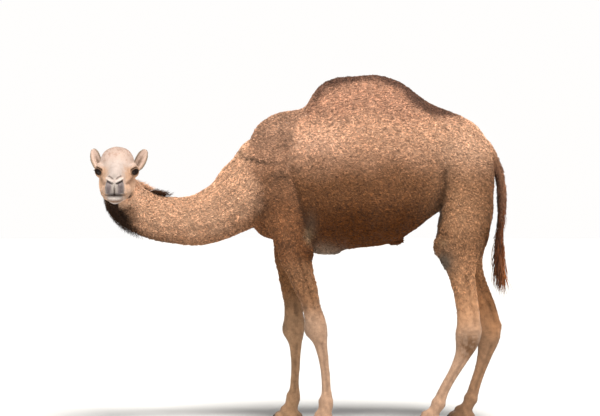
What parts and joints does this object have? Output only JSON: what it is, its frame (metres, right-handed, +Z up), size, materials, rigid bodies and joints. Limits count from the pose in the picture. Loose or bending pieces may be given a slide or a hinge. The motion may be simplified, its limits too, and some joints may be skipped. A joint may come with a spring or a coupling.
{
  "type": "dromedary camel",
  "caption": "Standing one-humped camel, life size, with its long neck stretched forward and low and its head turned to its left.",
  "frame": {"origin": "on the floor, under the middle of the whole animal's bounding box", "axes": "+Z up; the body faces -X, so +X points to the tail; -Y is the animal's left side, to which its head is turned"},
  "size_m": [2.445, 0.9064, 2.0639],
  "materials": {
    "coat": "short tight woolly curls, reddish tan, darker below and on the hump's crest",
    "pale_coat": "very short smooth hair, cream, over grey skin at the nose and lips",
    "leg_coat": "short smooth hair, pale tan",
    "dark_coat": "short dark hair that ends in a tuft of long hair",
    "eye": "wet and glossy",
    "horn": "dull horn"
  },
  "bodies": {
    "root": {"head": "pale_coat", "eye_left": "eye", "ear_left": "pale_coat", "eye_right": "eye", "ear_right": "pale_coat", "neck_lower": "coat", "neck_upper": "coat", "torso": "coat", "hump": "coat", "front_leg_left_upper": "coat", "front_leg_left_lower": "leg_coat", "foot_front_left": "leg_coat", "nail_front_left_outer": "horn", "nail_front_left_inner": "horn", "front_leg_right_upper": "coat", "front_leg_right_lower": "leg_coat", "foot_front_right": "leg_coat", "nail_front_right_inner": "horn", "nail_front_right_outer": "horn", "hind_leg_left_upper": "coat", "hind_leg_left_lower": "leg_coat", "foot_hind_left": "leg_coat", "nail_hind_left_outer": "horn", "nail_hind_left_inner": "horn", "hind_leg_right_upper": "coat", "hind_leg_right_lower": "leg_coat", "foot_hind_right": "leg_coat", "nail_hind_right_inner": "horn", "nail_hind_right_outer": "horn", "tail": "dark_coat", "tail_tuft": "dark_coat"}
  },
  "joints": []
}
